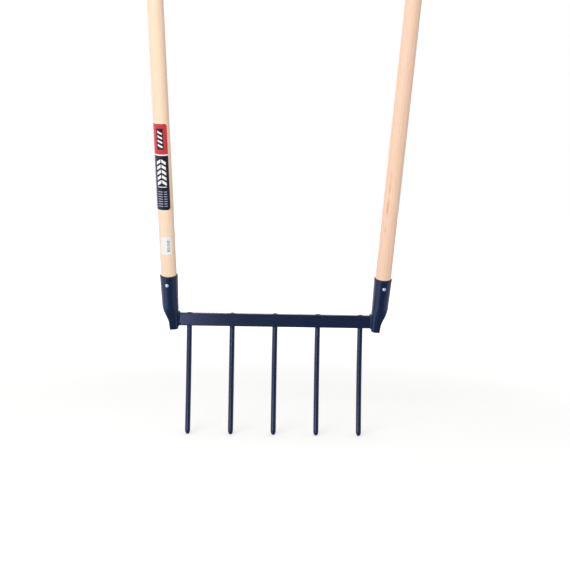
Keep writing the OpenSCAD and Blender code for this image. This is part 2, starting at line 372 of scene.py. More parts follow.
@dataclass(frozen=True)
class NavyEnamel(Finish):
    """Stove enamel, sprayed on steel and baked.

    The eye sees a deep navy with a satin gloss, faintly uneven like the skin of an orange, and cloudy in its
    shine.
    """

    name: str = "Navy stove enamel"
    slot: str = "navy_paint"
    colour: str = "#101C36"
    thin: str = "#162443"
    roughness: Span = (0.2, 0.32)
    shine: float = 0.32
    cloud_mm: float = 38.0
    peel_mm: float = 2.2
    peel_depth_mm: float = 0.012
    peel_bump: float = 0.35

    def paint(self, tree: NodeTree, shader: Node) -> None:
        """Draws cloudy thickness and shine, and the fine unevenness of sprayed paint.

        Args:
            tree: The material's tree.
            shader: Its principled shader.
        """
        spot = add(tree, "ShaderNodeTexCoord").outputs["Object"]
        cloud = add(tree, NOISE, {"Vector": spot, "Scale": 1 / (self.cloud_mm * MM), "Detail": 3.0})
        coat = add(tree, MIX, {0: cloud, 6: linear(self.colour), 7: linear(self.thin)}, data_type="RGBA")
        smooth, dull = self.roughness
        rough = add(tree, MAP_RANGE, {"Value": cloud, "To Min": smooth, "To Max": dull})
        peel = add(tree, NOISE, {"Vector": spot, "Scale": 1 / (self.peel_mm * MM), "Detail": 2.0})
        skin = add(
            tree, "ShaderNodeBump",
            {"Height": peel, "Strength": self.peel_bump, "Distance": self.peel_depth_mm * MM},
        )
        look = {"Base Color": coat.outputs[2], "Roughness": rough, "Normal": skin}
        feed(tree, shader, {**look, "Specular IOR Level": self.shine})


@dataclass(frozen=True)
class BrightSteel(Finish):
    """Zinc-plated steel, cold headed.

    The eye sees a bright, slightly blue metal with fine marks from the heading die.
    """

    name: str = "Bright zinc-plated steel"
    slot: str = "bright_steel"
    colour: str = "#E4E7EA"
    dull: str = "#B9BEC4"
    roughness: Span = (0.47, 0.65)
    mark_mm: float = 1.4

    def paint(self, tree: NodeTree, shader: Node) -> None:
        """Draws the marks as small changes of brightness and shine.

        Args:
            tree: The material's tree.
            shader: Its principled shader.
        """
        spot = add(tree, "ShaderNodeTexCoord").outputs["Object"]
        mark = add(tree, NOISE, {"Vector": spot, "Scale": 1 / (self.mark_mm * MM), "Detail": 4.0})
        plate = add(tree, MIX, {0: mark, 6: linear(self.colour), 7: linear(self.dull)}, data_type="RGBA")
        smooth, dull = self.roughness
        rough = add(tree, MAP_RANGE, {"Value": mark, "To Min": smooth, "To Max": dull})
        feed(tree, shader, {"Base Color": plate.outputs[2], "Roughness": rough, "Metallic": 1.0})


@dataclass(frozen=True)
class PrintedBlock:
    """A plain block of one colour on a printed sheet, repeated along it where it has a pitch.

    A slanted block runs up the sheet by its slant for each millimetre across.
    """

    across: Span
    along: Span
    colour: str
    pitch: float = 0.0
    height: float = 0.0
    slant: float = 0.0


@dataclass(frozen=True)
class PrintedSheet(Finish):
    """A sheet with blocks of ink on it: glossy film or matt paper.

    The eye sees flat even colours with crisp edges, and the shine of the film or the tooth of the paper over
    them.
    """

    ground: str = "#F4F4F2"
    blocks: tuple[PrintedBlock, ...] = ()
    roughness: Span = (0.26, 0.36)
    shine: float = 0.3
    tooth_mm: float = 0.8
    tooth_share: float = 0.04

    def paint(self, tree: NodeTree, shader: Node) -> None:
        """Lays the blocks over the ground in order, by their place on the flat sheet.

        Args:
            tree: The material's tree.
            shader: Its principled shader.
        """
        place = add(tree, "ShaderNodeUVMap", uv_map=PRINT)
        tooth = add(tree, NOISE, {"Vector": place, "Scale": 1 / self.tooth_mm, "Detail": 2.0})
        shade = add(tree, MAP_RANGE, {"Value": tooth, "To Min": 1 - self.tooth_share})
        sheet = add(
            tree, MIX, {0: 1.0, 6: linear(self.ground), 7: shade}, data_type="RGBA", blend_type="MULTIPLY"
        )
        flat = add(tree, SEPARATE, [place]).outputs
        for block in self.blocks:
            along = flat["Y"]
            if block.slant:
                along = add(tree, MATH, [flat["X"], -block.slant, along], operation="MULTIPLY_ADD")
            spans = [(flat["X"], *block.across), (along, *block.along)]
            if block.pitch:
                past = add(tree, MATH, [along, block.along[0]], operation="SUBTRACT")
                within = add(tree, MATH, [past, block.pitch], operation="MODULO")
                spans.append((within, 0.0, block.height))
            masks = [
                add(tree, MATH, [value, (low + high) / 2, (high - low) / 2], operation="COMPARE")
                for value, low, high in spans
            ]
            ink = {0: overlap(tree, masks), 6: sheet.outputs[2], 7: linear(block.colour)}
            sheet = add(tree, MIX, ink, data_type="RGBA")
        smooth, dull = self.roughness
        rough = add(tree, MAP_RANGE, {"Value": tooth, "To Min": smooth, "To Max": dull})
        look = {"Base Color": sheet.outputs[2], "Roughness": rough, "Specular IOR Level": self.shine}
        feed(tree, shader, look)


ASH = AshWood()
WARM_ASH = AshWood(
    name="Turned ash, warmer billet", pale="#FAD5BA", band="#EDBE9F", pore="#C08F66", fleck_at=(-53.3, 36.2)
)
ENAMEL = NavyEnamel()
WELD_ENAMEL = NavyEnamel(
    name="Navy stove enamel over weld", peel_mm=1.2, peel_depth_mm=0.06, roughness=(0.33, 0.45)
)
STEEL = BrightSteel()
RED_INK = "#CA353C"
NAVY_INK = "#1A182A"
WHITE_INK = "#F3F2EF"
GREY_INK = "#9AA3A0"
PALE_NAVY_INK = "#A3A7B8"
PALE_PINK_INK = "#EFE0E0"
LABEL_FILM = PrintedSheet(
    name="Printed gloss film",
    slot="label_film",
    ground=WHITE_INK,
    blocks=(
        PrintedBlock((-22.0, 22.0), (1.6, 128), NAVY_INK),
        PrintedBlock((-22.0, 22.0), (131, 200.4), RED_INK),
        PrintedBlock((-14.6, -5.0), (68.8, 128.8), WHITE_INK, pitch=12.0, height=7.0, slant=0.7),
        PrintedBlock((-3.0, 6.6), (63.2, 123.2), WHITE_INK, pitch=12.0, height=7.0, slant=-0.7),
        PrintedBlock((-14.6, 6.6), (55, 56.6), WHITE_INK),
        PrintedBlock((-14.6, -7.4), (10, 49), PALE_NAVY_INK, pitch=5.6, height=1.9),
        PrintedBlock((-4.4, 6.6), (10, 49), PALE_NAVY_INK, pitch=5.6, height=1.9),
        PrintedBlock((-11.5, 3.5), (142, 190), NAVY_INK),
        PrintedBlock((-9.2, 1.2), (150, 188), WHITE_INK, pitch=10.0, height=4.4, slant=0.5),
    ),
)
STICKER_PAPER = PrintedSheet(
    name="White sticker paper",
    slot="sticker_paper",
    ground="#ECECEE",
    roughness=(0.58, 0.68),
    blocks=(
        PrintedBlock((-8.9, -1.8), (7, 37.4), GREY_INK, pitch=3.1, height=1.4),
        PrintedBlock((-8.9, -1.8), (9, 36.2), GREY_INK, pitch=5.3, height=0.9),
        PrintedBlock((-8.9, -1.8), (8.4, 37.0), GREY_INK, pitch=7.7, height=0.6),
        PrintedBlock((4.0, 11.0), (8, 37), PALE_PINK_INK, pitch=4.2, height=1.6),
    ),
)


def new_piece(name: str, points: np.ndarray, faces: list, edges: list | None = None) -> Object:
    """Makes a mesh object at the origin, with its place in its vertices.

    Args:
        name: The piece's name.
        points: Its vertices, in millimetres in the part's frame.
        faces: Vertex numbers of each face.
        edges: Vertex numbers of each loose edge.

    Returns:
        The linked object.
    """
    mesh = bpy.data.meshes.new(name)
    mesh.from_pydata((np.asarray(points, float) * MM).tolist(), edges or [], faces)
    made = bpy.data.objects.new(name, mesh)
    bpy.context.scene.collection.objects.link(made)
    return made


def loft_faces(rings: int, points: int, ends: Ends) -> list[tuple[int, ...]]:
    """Lists the faces of a skin over rings of points.

    Args:
        rings: Number of rings.
        points: Number of points in each closed ring.
        ends: How the skin is closed.

    Returns:
        Vertex numbers of each face.
    """
    faces = []
    for ring in range(rings if ends is Ends.LOOP else rings - 1):
        here, there = ring * points, (ring + 1) % rings * points
        for k in range(points):
            after = (k + 1) % points
            faces.append((here + k, here + after, there + after, there + k))
    if ends is Ends.DOME:
        last, pole = (rings - 1) * points, rings * points
        faces.append(tuple(range(points)))
        faces += [(last + k, last + (k + 1) % points, pole) for k in range(points)]
    return faces


def tidy_mesh(piece: Object, smooth_under: float = SMOOTH_UNDER_DEG, turn_out: bool = True) -> None:
    """Merges a piece's doubles, turns its faces outward and shades its round stretches smooth.

    Args:
        piece: The mesh object.
        smooth_under: Edges flatter than this many degrees are smooth.
        turn_out: Whether the faces are turned; a hollow piece whose faces are right already is left alone.
    """
    form = bmesh.new()
    form.from_mesh(piece.data)
    bmesh.ops.remove_doubles(form, verts=form.verts, dist=MERGE_MM * MM)
    if turn_out:
        bmesh.ops.recalc_face_normals(form, faces=form.faces)
    form.to_mesh(piece.data)
    form.free()
    piece.data.polygons.foreach_set("use_smooth", [True] * len(piece.data.polygons))
    piece.data.set_sharp_from_angle(angle=math.radians(smooth_under))
    piece.data.update()


def new_tree(name: str, sizes: tuple[str, ...]) -> tuple[NodeTree, Node]:
    """Makes a geometry tree with a length for each named size, a place for a path and a material.

    Args:
        name: The tree's name.
        sizes: Names of its lengths, in metres.

    Returns:
        The tree and its input node.
    """
    tree = bpy.data.node_groups.new(name, "GeometryNodeTree")
    tree.interface.new_socket("Path", in_out="INPUT", socket_type="NodeSocketGeometry")
    for size in sizes:
        tree.interface.new_socket(size, in_out="INPUT", socket_type="NodeSocketFloat")
    tree.interface.new_socket("Finish", in_out="INPUT", socket_type="NodeSocketMaterial")
    tree.interface.new_socket("Form", in_out="OUTPUT", socket_type="NodeSocketGeometry")
    return tree, add(tree, "NodeGroupInput")


def close_tree(tree: NodeTree, source: Node, form: Node) -> NodeTree:
    """Ends a geometry tree: realized, smooth and with its material.

    Args:
        tree: The tree.
        source: Its input node.
        form: The node that gives the geometry so far.

    Returns:
        The finished tree.
    """
    real = add(tree, "GeometryNodeRealizeInstances", {"Geometry": form})
    smooth = add(tree, "GeometryNodeSetShadeSmooth", {"Geometry": real})
    finish = {"Geometry": smooth, "Material": source.outputs["Finish"]}
    add(tree, "NodeGroupOutput", {"Form": add(tree, "GeometryNodeSetMaterial", finish)})
    return tree


def run_tree(piece: Object, tree: NodeTree, finish: Finish, **sizes: float) -> None:
    """Runs a geometry tree on a piece and keeps the result as its plain mesh.

    Args:
        piece: The object whose mesh is the tree's path.
        tree: The geometry tree.
        finish: The finish whose material the tree sets.
        **sizes: Value of each named size in millimetres, with underscores for spaces.
    """
    given = {name.replace("_", " "): value * MM for name, value in sizes.items()}
    modifier = piece.modifiers.new(tree.name, "NODES")
    modifier.node_group = tree
    for item in tree.interface.items_tree:
        if item.in_out == "INPUT" and item.name in given:
            modifier[item.identifier] = given[item.name]
        elif item.name == "Finish":
            modifier[item.identifier] = finish.material()
    graph = bpy.context.evaluated_depsgraph_get()
    shown = piece.evaluated_get(graph)
    path = piece.data
    made = bpy.data.meshes.new_from_object(shown, preserve_all_data_layers=True, depsgraph=graph)
    piece.modifiers.remove(modifier)
    piece.data = made
    bpy.data.meshes.remove(path)
    made.name = piece.name


@dataclass(frozen=True)
class Made:
    """A built piece, what it is covered with and the CAD node that it stands for."""

    piece: Object
    finish: Finish
    node: str


class SubAssembly:
    """A group of pieces that is built as one and then dressed."""

    def build(self) -> list[Made]:
        """Builds the pieces.

        Returns:
            Each piece with its finish and its CAD node.
        """
        raise NotImplementedError

    def dress(self, built: list[Made]) -> None:
        """Gives each piece its finish and body, lets it stand for its node and logs how well it fits there.

        Args:
            built: What build gave.
        """
        for made in built:
            piece = made.piece
            piece.data.materials.clear()
            piece.data.materials.append(made.finish.material())
            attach(piece, BODY)
            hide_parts(made.node)
            spots = np.array([vertex.co for vertex in piece.data.vertices])
            off = np.abs(np.array((spots.min(0), spots.max(0))) - np.array(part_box(made.node))).max() / MM
            faces = len(piece.data.polygons)
            log.info("%s: %d faces, box within %.2f mm of %s", piece.name, faces, off, made.node)


@dataclass(frozen=True)
class HandleAxis:
    """One handle's frame: z up its axis, x outward and -y to the front, from the crossbar's middle height."""

    side: Side
    foot_x: float = 243.0
    bar_middle_z: float = -15.0
    lean_deg: float = 16.0
    splay_deg: float = 2.5

    def place(self, points: np.ndarray) -> np.ndarray:
        """Takes points from the handle's frame to the part's.

        Args:
            points: Rows of x, y and z.

        Returns:
            The same points in the part's frame.
        """
        lean = Matrix.Rotation(math.radians(self.lean_deg), 3, "X")
        splay = Matrix.Rotation(math.radians(self.splay_deg), 3, "Y")
        moved = np.asarray(points, float) @ np.array(lean @ splay).T + (self.foot_x, 0.0, self.bar_middle_z)
        return moved * (self.side.value, 1.0, 1.0)

    def facing(self, turn_deg: float) -> Vector:
        """Gives the direction that looks out of the handle at an angle outward from its front.

        Args:
            turn_deg: The angle, in degrees.

        Returns:
            A unit vector in the part's frame.
        """
        turn = math.radians(turn_deg)
        ends = self.place(np.array([(0.0, 0.0, 0.0), (math.sin(turn), -math.cos(turn), 0.0)]))
        return Vector(ends[1] - ends[0])


@dataclass
class Handle(SubAssembly):
    """A turned ash shaft: tapered seat, slow taper, parallel grip and domed end."""

    axis: HandleAxis
    wood: AshWood
    pith: Span
    seat_z: Span = (42.5, 79.1)
    seat_r: float = 17.6
    chamfer: float = 2.0
    mouth_z: float = 109.65
    shaft_r: float = 18.5
    grip_r: float = 17.5
    grip_z: Span = (834.5, 1234.5)
    top_z: float = 1242.5
    # A ring this far below the dome keeps the grip's shading straight
    dome_margin: float = 2.0
    points: int = 96
    dome_steps: int = 10
    taper_steps: int = 8

    def outline(self) -> list[Span]:
        """Lists the rings of the shaft, from its lower end to the top of its dome.

        Returns:
            Radius and height of each ring.
        """
        rise = self.top_z - self.grip_z[1]
        ball = (self.grip_r**2 + rise**2) / (2 * rise)
        low = math.asin(self.grip_r / ball)
        foot = self.seat_z[0]
        spots = [(self.seat_r - self.chamfer, foot), (self.seat_r, foot + self.chamfer)]
        spots.append((self.shaft_r, self.seat_z[1]))
        for share in np.linspace(0, 1, self.taper_steps + 1):
            reach = self.shaft_r + (self.grip_r - self.shaft_r) * share
            spots.append((reach, self.mouth_z + (self.grip_z[0] - self.mouth_z) * share))
        spots.append((self.grip_r, self.grip_z[1] - self.dome_margin))
        for k in range(self.dome_steps):
            angle = low * (1 - k / self.dome_steps)
            spots.append((ball * math.sin(angle), self.top_z - ball * (1 - math.cos(angle))))
        return spots

    def build(self) -> list[Made]:
        """Turns the outline about the handle's axis and stores each point's place in the billet.

        Returns:
            The shaft.
        """
        turns = np.linspace(0, 2 * math.pi, self.points, endpoint=False)
        rings = [
            np.stack([r * np.cos(turns), r * np.sin(turns), np.full(self.points, z)], 1)
            for r, z in self.outline()
        ]
        local = np.concatenate([*rings, [(0.0, 0.0, self.top_z)]])
        faces = loft_faces(len(rings), self.points, Ends.DOME)
        word = self.axis.side.word
        shaft = new_piece(f"ash_shaft_{word}", self.axis.place(local), faces)
        billet = shaft.data.attributes.new(BILLET, "FLOAT_VECTOR", "POINT")
        billet.data.foreach_set("vector", (local + (*self.pith, 0.0)).astype(np.float32).ravel())
        tidy_mesh(shaft)
        return [Made(shaft, self.wood, f"{word}_handle")]


@dataclass
class Socket(SubAssembly):
    """A steel tube, round and tapered at its mouth and pressed to a flat neck on the crossbar's end."""

    axis: HandleAxis
    mouth_r: float = 21.0
    waist_r: float = 19.25
    wall: float = 1.6
    mouth_z: float = 109.5
    waist_z: float = 38.5
    pinch_z: float = -3.5
    end_z: float = -20.0
    bar_top_z: float = 17.2
    neck_top_w: float = 22.5
    neck_end_w: float = 20.5
    neck_depth: float = 41.0
    end_offset: float = 18.0
    # How square the neck's corners are; 2 is round
    inner_corner: float = 4.0
    outer_corner: float = 8.0
    edge_r: float = 0.6
    edge_steps: int = 4
    points: int = 128
    # Finer steps that the section is measured in before its points are spaced evenly
    fine_steps: int = 12
    round_steps: int = 10
    pinch_steps: int = 28
    neck_steps: int = 6
    smooth_under_deg: float = 50.0

    @staticmethod
    def eased(share: float) -> float:
        """Gives a smooth step from 0 to 1."""
        share = min(1.0, max(0.0, share))
        return share * share * (3 - 2 * share)

    def end_plane(self, z: float) -> float:
        """Gives the distance from the axis to the upright plane of the crossbar's end."""
        splay = math.radians(self.axis.splay_deg)
        return (self.end_offset + z * math.sin(splay)) / math.cos(splay)

    def half_sizes(self, z: float) -> tuple[float, float, float, float]:
        """Measures the tube below its waist.

        Args:
            z: Height up the handle's axis.

        Returns:
            The section's inner, outer and front half sizes, and how far it is pressed, from 0 to 1.
        """
        pressed = self.eased((self.waist_z - z) / (self.waist_z - self.pinch_z))
        inner = self.eased((self.waist_z - z) / (self.waist_z - self.bar_top_z))
        share = (z - self.end_z) / (self.pinch_z - self.end_z)
        width = self.neck_end_w + (self.neck_top_w - self.neck_end_w) * share
        flush = self.end_plane(z)
        return (
            self.waist_r + (flush - self.waist_r) * inner,
            self.waist_r + (width - flush - self.waist_r) * pressed,
            self.waist_r + (self.neck_depth / 2 - self.waist_r) * pressed,
            pressed,
        )

    def section(self, z: float, inset: float) -> np.ndarray:
        """Gives the tube's section at a height.

        Args:
            z: Height up the handle's axis.
            inset: Distance inward from the tube's outside.

        Returns:
            Points evenly spaced round the section, in the handle's frame.
        """
        turn = np.linspace(0, 2 * math.pi, self.fine_steps * self.points + 1)
        cosine, sine = np.cos(turn), np.sin(turn)
        if z >= self.waist_z:
            slope = (self.mouth_r - self.waist_r) / (self.mouth_z - self.waist_z)
            reach = self.waist_r + slope * (z - self.waist_z) - inset
            x, y = reach * cosine, reach * sine
        else:
            inner, outer, front, pressed = self.half_sizes(z)
            corner = 2 + (np.where(cosine > 0, self.outer_corner, self.inner_corner) - 2) * pressed
            across = np.where(cosine > 0, outer, inner) - inset
            x = across * np.sign(cosine) * np.abs(cosine) ** (2 / corner)
            y = (front - inset) * np.sign(sine) * np.abs(sine) ** (2 / corner)
        run = np.concatenate([[0.0], np.cumsum(np.hypot(np.diff(x), np.diff(y)))])
        even = np.linspace(0, run[-1], self.points, endpoint=False)
        return np.stack([np.interp(even, run, x), np.interp(even, run, y), np.full(self.points, z)], 1)

    def stations(self) -> list[Span]:
        """Walks once round the wall: down the outside and up the inside, with rounded rims.

        Returns:
            Height and inset of each section.
        """
        r, low, high = self.edge_r, self.end_z, self.mouth_z
        outside = [
            *np.linspace(high - r, self.waist_z, self.round_steps, endpoint=False),
            *np.linspace(self.waist_z, self.pinch_z, self.pinch_steps, endpoint=False),
            *np.linspace(self.pinch_z, low + r, self.neck_steps + 1),
        ]
        turns = [math.pi / 2 * k / self.edge_steps for k in range(1, self.edge_steps + 1)]
        bottom = [(low + r - r * math.sin(t), r - r * math.cos(t)) for t in turns]
        bottom += [(z, self.wall - inset) for z, inset in reversed(bottom)]
        top = [(low + high - z, self.wall - inset) for z, inset in bottom]
        walk = [(z, 0.0) for z in outside] + bottom
        return walk + [(z, self.wall) for z in reversed(outside)] + top

    def build(self) -> list[Made]:
        """Lofts the wall through its stations.

        Returns:
            The tube.
        """
        rings = [self.section(z, inset) for z, inset in self.stations()]
        faces = loft_faces(len(rings), self.points, Ends.LOOP)
        word = self.axis.side.word
        tube = new_piece(f"pressed_socket_{word}", self.axis.place(np.concatenate(rings)), faces)
        tidy_mesh(tube, smooth_under=self.smooth_under_deg)
        return [Made(tube, ENAMEL, f"{word}_socket")]


@dataclass(frozen=True)
class WeldBead:
    """A rippled fillet of weld in the corner between two faces, along a closed path.

    Its leg shrinks to the lower leg from the top of the crossbar to its underside.
    """

    leg: float
    lower_leg: float
    sink: float
    ripple_pitch: float
    step: float
    low: float = -30.0
    high: float = 0.0
    smooth_under_deg: float = 80.0

    @staticmethod
    @cache
    def tree() -> NodeTree:
        """Makes the tree of a bead, which every bead shares.

        Returns:
            The geometry tree.
        """
        # Lumps to the metre, and the bead's girth in shares of its leg: least, from lumps and from ripples
        lumps_per_m, least, from_lumps, from_ripples = 140.0, 0.8, 0.22, 0.12
        # Place of the belly and radius of the toes in shares of the leg, and the steps in a toe
        belly_share, toe_share, toe_steps = 0.47, 0.09, 3
        sizes = ("Leg", "Lower leg", "Low", "High", "Sink", "Ripple pitch", "Step")
        tree, source = new_tree("Weld fillet", sizes)
        size = source.outputs
        line = add(tree, "GeometryNodeMeshToCurve", {"Mesh": size["Path"]})
        even = add(tree, "GeometryNodeResampleCurve", {"Curve": line, "Length": size["Step"]}, mode="LENGTH")
        way = add(tree, "GeometryNodeInputNamedAttribute", {"Name": LEG_WAY}, data_type="FLOAT_VECTOR")
        turned = add(tree, "GeometryNodeSetCurveNormal", {"Curve": even, "Normal": way}, mode="FREE")
        run = add(tree, "GeometryNodeSplineParameter").outputs["Length"]
        pools = add(tree, MATH, [run, size["Ripple pitch"]], operation="DIVIDE")
        angle = add(tree, MATH, [pools, math.pi], operation="MULTIPLY")
        wave = add(tree, MATH, [angle], operation="SINE")
        hump = add(tree, MATH, [wave], operation="ABSOLUTE")
        lumps = add(tree, NOISE, {"Scale": lumps_per_m, "Detail": 1.0})
        lumpy = add(tree, MATH, [lumps, from_lumps, least], operation="MULTIPLY_ADD")
        swell = add(tree, MATH, [hump, from_ripples, lumpy], operation="MULTIPLY_ADD")
        height = add(tree, SEPARATE, [add(tree, "GeometryNodeInputPosition")]).outputs["Z"]
        lower = add(tree, MATH, [size["Lower leg"], size["Leg"]], operation="DIVIDE")
        ends = {"From Min": size["Low"], "From Max": size["High"], "To Min": lower}
        fullness = add(tree, MAP_RANGE, {"Value": height, **ends})
        girth = add(tree, MATH, [swell, fullness], operation="MULTIPLY")
        under = add(tree, MATH, [size["Sink"], -1.0], operation="MULTIPLY")
        belly = add(tree, MATH, [size["Leg"], belly_share], operation="MULTIPLY")
        corners = ((under, under), (size["Leg"], under), (belly, belly), (under, size["Leg"]))
        shape = add(
            tree, "GeometryNodeCurvePrimitiveQuadrilateral",
            {f"Point {k}": add(tree, COMBINE, {"X": x, "Y": y}) for k, (x, y) in enumerate(corners, 1)},
            mode="POINTS",
        )
        toe = add(tree, MATH, [size["Leg"], toe_share], operation="MULTIPLY")
        soft = add(
            tree, "GeometryNodeFilletCurve",
            {"Curve": shape, "Count": toe_steps, "Radius": toe, "Limit Radius": True}, mode="POLY",
        )
        sweep = {"Curve": turned, "Profile Curve": soft, "Scale": girth}
        return close_tree(tree, source, add(tree, "GeometryNodeCurveToMesh", sweep))

    def run(self, name: str, spots: np.ndarray, leg_way: Spot) -> Object:
        """Lays the bead along a corner.

        Args:
            name: The bead's name.
            spots: Points along the closed corner, in order.
            leg_way: Direction of the leg that stands off the corner's own plane.

        Returns:
            The bead.
        """
        count = len(spots)
        bead = new_piece(name, spots, [], [(k, (k + 1) % count) for k in range(count)])
        ways = bead.data.attributes.new(LEG_WAY, "FLOAT_VECTOR", "POINT")
        ways.data.foreach_set("vector", np.tile(np.array(leg_way, np.float32), count))
        run_tree(
            bead, self.tree(), WELD_ENAMEL, Leg=self.leg, Lower_leg=self.lower_leg, Low=self.low,
            High=self.high, Sink=self.sink, Ripple_pitch=self.ripple_pitch, Step=self.step,
        )
        tidy_mesh(bead, smooth_under=self.smooth_under_deg)
        return bead


@dataclass
class Crossbar(SubAssembly):
    """The hollow foot bar, with a weld bead at each end where it meets a socket."""

    half_l: float = 225.0
    half_depth: float = 10.0
    height: float = 30.0
    edge_r: float = 2.0
    corner_points: int = 8
    weld: WeldBead = WeldBead(leg=5.0, lower_leg=2.4, sink=1.0, ripple_pitch=4.2, step=0.6)

    def bar(self) -> Object:
        """Copies the bar from the frame and joins its edges, so that faces shade flat and corners round.

        Returns:
            The bar.
        """
        bar = bpy.data.objects.new("hollow_crossbar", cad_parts["crossbar"].data.copy())
        bpy.context.scene.collection.objects.link(bar)
        tidy_mesh(bar, turn_out=False)
        bar.modifiers.new("Flat faces", "WEIGHTED_NORMAL").keep_sharp = True
        return bar

    def bead(self, side: Side) -> Object:
        """Runs a bead round one end of the bar.

        Args:
            side: Which end.

        Returns:
            The bead.
        """
        corner = self.edge_r
        spots = []
        for quarter, (y, z) in enumerate(((1, 1), (-1, 1), (-1, -1), (1, -1))):
            centre = (y * (self.half_depth - corner), z * (self.height / 2 - corner) - self.height / 2)
            for k in range(self.corner_points + 1):
                angle = math.pi / 2 * (quarter + k / self.corner_points)
                spots.append((centre[0] + corner * math.cos(angle), centre[1] + corner * math.sin(angle)))
        path = np.array([(side.value * self.half_l, y, z) for y, z in spots])[:: -side.value]
        return self.weld.run(f"socket_bead_{side.word}", path, (-side.value, 0.0, 0.0))

    def build(self) -> list[Made]:
        """Builds the bar and its beads.

        Returns:
            The pieces.
        """
        built = [Made(self.bar(), ENAMEL, "crossbar")]
        return built + [Made(self.bead(side), WELD_ENAMEL, f"{side.word}_socket_weld") for side in Side]


@cache
def tine_tree() -> NodeTree:
    """Makes the tree of a tine: a straight top, an even bend and a straight rounded tip.

    Returns:
        The geometry tree.
    """
    sizes = ("Place", "Top", "Rod radius", "Straight length", "Bend radius", "Bend length", "Tip length")
    tree, source = new_tree("Bent tine", sizes)
    size = source.outputs
    line = add(tree, "GeometryNodeCurvePrimitiveLine")
    rod = add(tree, "GeometryNodeResampleCurve", {"Curve": line, "Count": TINE_RINGS})
    # Steps get shorter towards the tip, where the outline turns most
    number = add(tree, "GeometryNodeSplineParameter").outputs["Index"]
    done = add(tree, MATH, [number, TINE_RINGS - 1.0], operation="DIVIDE")
    left = add(tree, MATH, [1.0, done], operation="SUBTRACT")
    late = add(tree, MATH, [left, 2.0], operation="POWER")
    upper = add(tree, MATH, [size["Straight length"], size["Bend length"]], operation="ADD")
    whole = add(tree, MATH, [upper, size["Tip length"]], operation="ADD")
    unrun = add(tree, MATH, [late, whole], operation="MULTIPLY")
    run = add(tree, MATH, [whole, unrun], operation="SUBTRACT")
    # Lengths of the straight top, the bend and the tip that lie above each ring
    straight = add(tree, MATH, [run, size["Straight length"]], operation="MINIMUM")
    bent = add(tree, MATH, [run, size["Straight length"]], operation="SUBTRACT")
    arc = add(tree, "ShaderNodeClamp", {"Value": bent, "Min": 0.0, "Max": size["Bend length"]})
    past = add(tree, MATH, [run, upper], operation="SUBTRACT")
    tip = add(tree, MATH, [past, 0.0], operation="MAXIMUM")
    # Where that brings the ring, forward and down
    angle = add(tree, MATH, [arc, size["Bend radius"]], operation="DIVIDE")
    sine = add(tree, MATH, [angle], operation="SINE")
    cosine = add(tree, MATH, [angle], operation="COSINE")
    flat = add(tree, MATH, [1.0, cosine], operation="SUBTRACT")
    ahead = add(tree, MATH, [flat, size["Bend radius"]], operation="MULTIPLY")
    front = add(tree, MATH, [sine, tip, ahead], operation="MULTIPLY_ADD")
    drop = add(tree, MATH, [sine, size["Bend radius"], straight], operation="MULTIPLY_ADD")
    deep = add(tree, MATH, [cosine, tip, drop], operation="MULTIPLY_ADD")
    height = add(tree, MATH, [size["Top"], deep], operation="SUBTRACT")
    back = add(tree, MATH, [front, -1.0], operation="MULTIPLY")
    spot = add(tree, COMBINE, {"X": size["Place"], "Y": back, "Z": height})
    laid = add(tree, "GeometryNodeSetPosition", {"Geometry": rod, "Position": spot})
    share = add(tree, MATH, [tip, size["Tip length"]], operation="DIVIDE")
    outline = add(tree, "ShaderNodeFloatCurve", {"Value": share})
    points = outline.mapping.curves[0].points
    points[0].location, points[1].location = TIP_OUTLINE[0], TIP_OUTLINE[-1]
    for place, width in TIP_OUTLINE[1:-1]:
        points.new(place, width)
    outline.mapping.update()
    ring = {"Resolution": ROUND_POINTS, "Radius": size["Rod radius"]}
    circle = add(tree, "GeometryNodeCurvePrimitiveCircle", ring)
    sweep = {"Curve": laid, "Profile Curve": circle, "Scale": outline, "Fill Caps": True}
    return close_tree(tree, source, add(tree, "GeometryNodeCurveToMesh", sweep))


